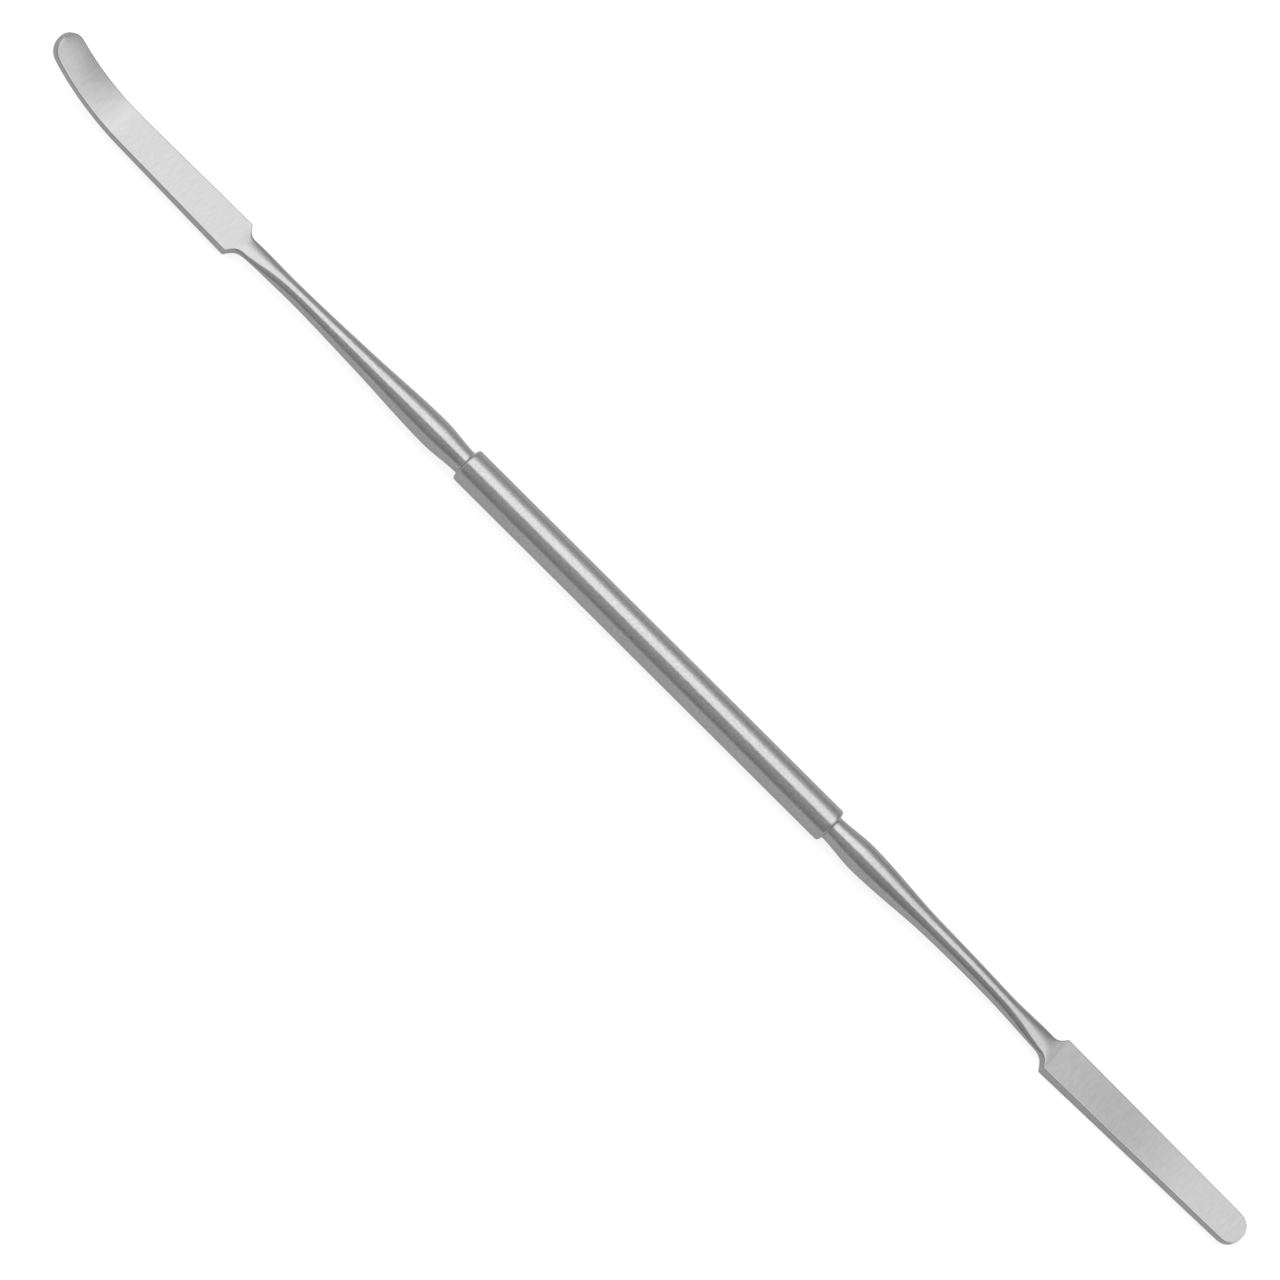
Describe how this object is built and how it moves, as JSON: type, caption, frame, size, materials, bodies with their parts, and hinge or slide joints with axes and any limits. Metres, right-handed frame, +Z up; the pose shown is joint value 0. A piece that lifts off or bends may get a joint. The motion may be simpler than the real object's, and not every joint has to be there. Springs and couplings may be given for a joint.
{
  "type": "septum elevator",
  "caption": "Slim double-ended septum elevator in satin steel, with a round handle, tapered shanks, one straight flat blade and one whose tip curves upwards.",
  "frame": {"origin": "on the handle's axis, half way along the handle", "axes": "+X along the instrument towards the straight blade, +Y across the blades, +Z up from the table, out of the blades' front faces"},
  "size_m": [0.2211, 0.0056, 0.0085],
  "materials": {
    "steel": "satin"
  },
  "bodies": {
    "root": {"septum_elevator": "steel"}
  },
  "joints": []
}
